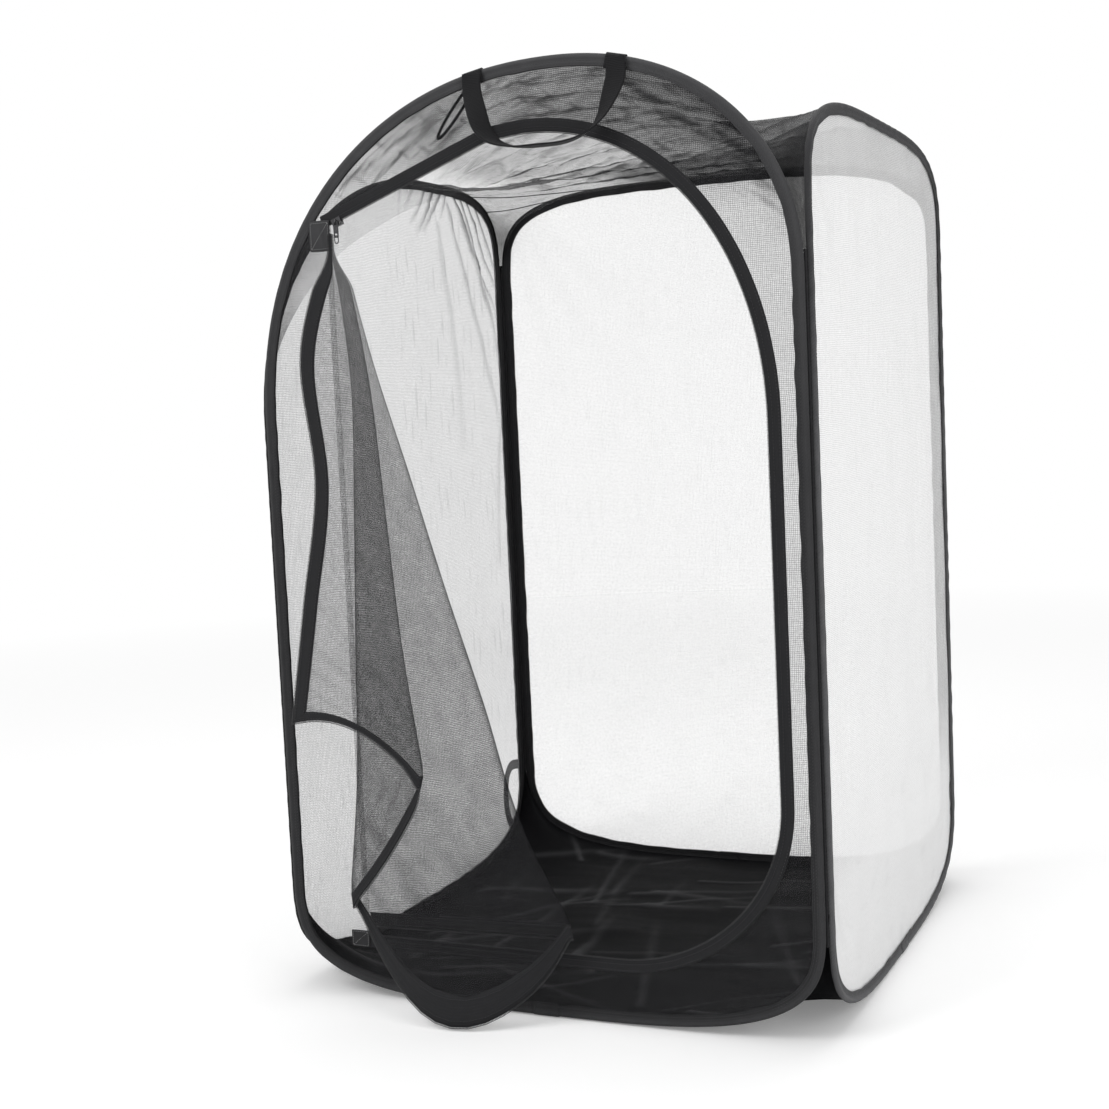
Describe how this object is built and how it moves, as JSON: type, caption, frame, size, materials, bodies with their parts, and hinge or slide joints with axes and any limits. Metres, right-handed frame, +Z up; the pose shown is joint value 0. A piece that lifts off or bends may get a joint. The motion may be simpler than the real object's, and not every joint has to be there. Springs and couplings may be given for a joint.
{
  "type": "insect cage",
  "caption": "Pop-up mesh cage on sprung hoops, with a zipped front door hanging open, a cloth floor, a net roof and a webbing handle.",
  "frame": {"origin": "centre of the floor's flat underside, where the open cage rests", "axes": "+Z up, -Y out of the front wall with the door, +X to the right as seen from the front"},
  "size_m": [0.6124, 0.6753, 0.965],
  "materials": {
    "black_tape": "matte black woven binding tape",
    "grey_tape": "matte dark grey woven binding tape",
    "white_mesh": "fine white see-through polyester net",
    "black_mesh": "fine black see-through polyester net",
    "black_cloth": "dense black woven polyester",
    "black_webbing": "black woven webbing",
    "black_nylon": "black nylon coil",
    "spring_steel": "hardened spring steel wire",
    "crimped_steel": "crimped steel tube",
    "dark_metal": "dark painted zinc"
  },
  "bodies": {
    "back": {"back_hoop_tape": "black_tape", "back_spring_wire": "spring_steel", "back_wire_ferrule": "crimped_steel", "back_tape_overlap": "black_tape", "back_mesh": "white_mesh", "roof_mesh": "black_mesh", "floor_cloth": "black_cloth", "seam_back_left": "black_tape", "seam_back_right": "black_tape"},
    "left": {"left_hoop_tape": "black_tape", "left_spring_wire": "spring_steel", "left_wire_ferrule": "crimped_steel", "left_tape_overlap": "black_tape", "left_mesh": "white_mesh", "storage_loop": "black_webbing", "seam_front_left": "black_tape"},
    "right": {"right_hoop_tape": "grey_tape", "right_spring_wire": "spring_steel", "right_wire_ferrule": "crimped_steel", "right_tape_overlap": "grey_tape", "right_mesh": "white_mesh", "seam_front_right": "black_tape"},
    "front": {"front_hoop_tape": "grey_tape", "front_spring_wire": "spring_steel", "front_wire_ferrule": "crimped_steel", "front_tape_overlap": "grey_tape", "front_mesh": "black_mesh", "door_zip_tape": "black_tape", "door_zip_coil": "black_nylon", "zip_top_patch": "black_tape", "zip_foot_patch": "black_tape", "door_seam_tape": "black_tape", "handle_end_left": "black_webbing", "handle_end_right": "black_webbing", "hanging_loop": "black_webbing"},
    "door": {"door_flap": "black_mesh", "flap_zip_tape": "black_tape", "flap_zip_coil": "black_nylon"},
    "slider": {"zip_slider": "dark_metal", "slider_bail": "dark_metal"},
    "pull": {"zip_pull": "dark_metal", "pull_ring": "dark_metal"},
    "handle": {"carry_handle": "black_webbing"}
  },
  "joints": [
    {"name": "left_fold", "type": "hinge", "parent": "back", "child": "left", "pos_m": [-0.2988, 0.2988, 0.4], "axis": [0, 0, 1], "range_deg": [0, 88], "stiffness_Nm_per_rad": 0.6, "springref_deg": -20.05, "deforming": ["roof_mesh", "floor_cloth"]},
    {"name": "right_fold", "type": "hinge", "parent": "back", "child": "right", "pos_m": [0.2988, 0.2988, 0.4], "axis": [0, 0, 1], "range_deg": [0, 88]},
    {"name": "front_fold", "type": "hinge", "parent": "left", "child": "front", "pos_m": [-0.2988, -0.2988, 0.4], "axis": [0, 0, 1], "range_deg": [-88, 0]},
    {"name": "door_swing", "type": "hinge", "parent": "front", "child": "door", "pos_m": [-0.20496, -0.3042, 0.43], "axis": [0, 0, -1], "range_deg": [0, 90], "deforming": ["door_flap", "flap_zip_tape", "flap_zip_coil"]},
    {"name": "zip_slide", "type": "slide", "parent": "front", "child": "slider", "axis": [0.9393, 0, 0.3431], "range_m": [0, 0.165]},
    {"name": "pull_swing", "type": "hinge", "parent": "slider", "child": "pull", "pos_m": [-0.19628, -0.3066, 0.82555], "axis": [-1, 0, 0], "range_deg": [0, 150]},
    {"name": "handle_swing", "type": "hinge", "parent": "front", "child": "handle", "pos_m": [0.04514, -0.30755, 0.95474], "axis": [-0.9999, 0, 0.0131], "range_deg": [0, 170]}
  ],
  "couplings": [
    {"joint": "right_fold", "follows": "left_fold", "ratio": 1},
    {"joint": "front_fold", "follows": "left_fold", "ratio": -1}
  ]
}
